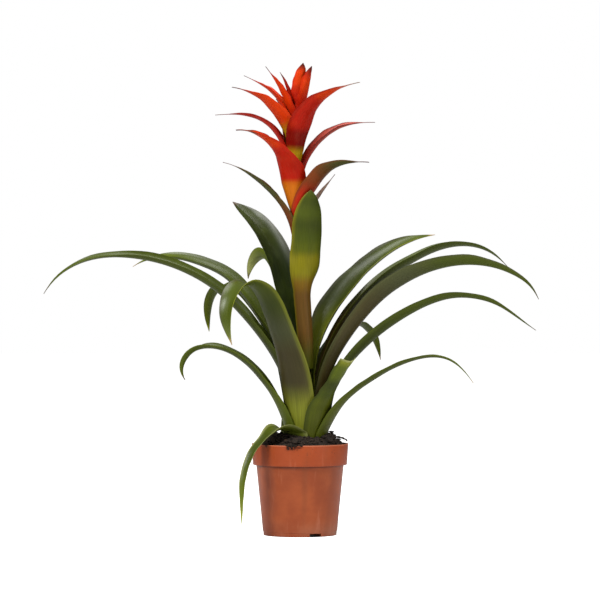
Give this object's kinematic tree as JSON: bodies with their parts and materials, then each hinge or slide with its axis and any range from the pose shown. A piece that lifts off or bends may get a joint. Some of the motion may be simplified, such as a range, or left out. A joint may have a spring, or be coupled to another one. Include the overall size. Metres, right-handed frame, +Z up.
{
  "type": "potted bromeliad",
  "caption": "Flowering guzmania bromeliad with arching strap leaves and a spike of red-orange bracts, growing in a round terracotta-coloured plastic nursery pot.",
  "frame": {"origin": "centre of the pot's base, on the plane it stands on", "axes": "+Z up along the pot's axis; -Y towards the side where the cut leaf and the tall stem leaf stand; +X towards the leaf that reaches furthest to the right seen from there"},
  "size_m": [0.6088, 0.2876, 0.5845],
  "materials": {
    "terracotta_plastic": "satin",
    "potting_soil": "matte",
    "bark": "matte",
    "stem_brown": "satin",
    "leaf_green": "satin",
    "bract_red": "satin"
  },
  "bodies": {
    "root": {"pot": "terracotta_plastic", "potting_soil": "potting_soil", "bark_chip_1": "bark", "bark_chip_2": "bark", "bark_chip_3": "bark", "bark_chip_4": "bark", "bark_chip_5": "bark", "bark_chip_6": "bark", "root_strand": "bark", "flower_stem": "stem_brown", "leaf_arch_right": "leaf_green", "leaf_back": "leaf_green", "leaf_back_left": "leaf_green", "leaf_back_right": "leaf_green", "leaf_broad_right": "leaf_green", "leaf_curl_back": "leaf_green", "leaf_cut": "leaf_green", "leaf_far_left": "leaf_green", "leaf_front_left": "leaf_green", "leaf_left": "leaf_green", "leaf_low_left": "leaf_green", "leaf_low_right": "leaf_green", "leaf_right": "leaf_green", "leaf_rim_back": "leaf_green", "leaf_rim_left": "leaf_green", "leaf_upper_left": "leaf_green", "leaf_upper_right": "leaf_green", "stem_leaf": "leaf_green", "bract_01_low_left": "bract_red", "bract_02_low_back": "bract_red", "bract_03_low_right": "bract_red", "bract_04_front_left": "bract_red", "bract_05_back": "bract_red", "bract_06_right": "bract_red", "bract_07_left": "bract_red", "bract_08_back_left": "bract_red", "bract_09_front_right": "bract_red", "bract_10_upper_left": "bract_red", "bract_11_upper_back": "bract_red", "bract_12_thin_left": "bract_red", "bract_13_top_left": "bract_red", "bract_14_top_back": "bract_red", "bract_15_top_right": "bract_red", "bract_16_top_front": "bract_red"}
  },
  "joints": []
}
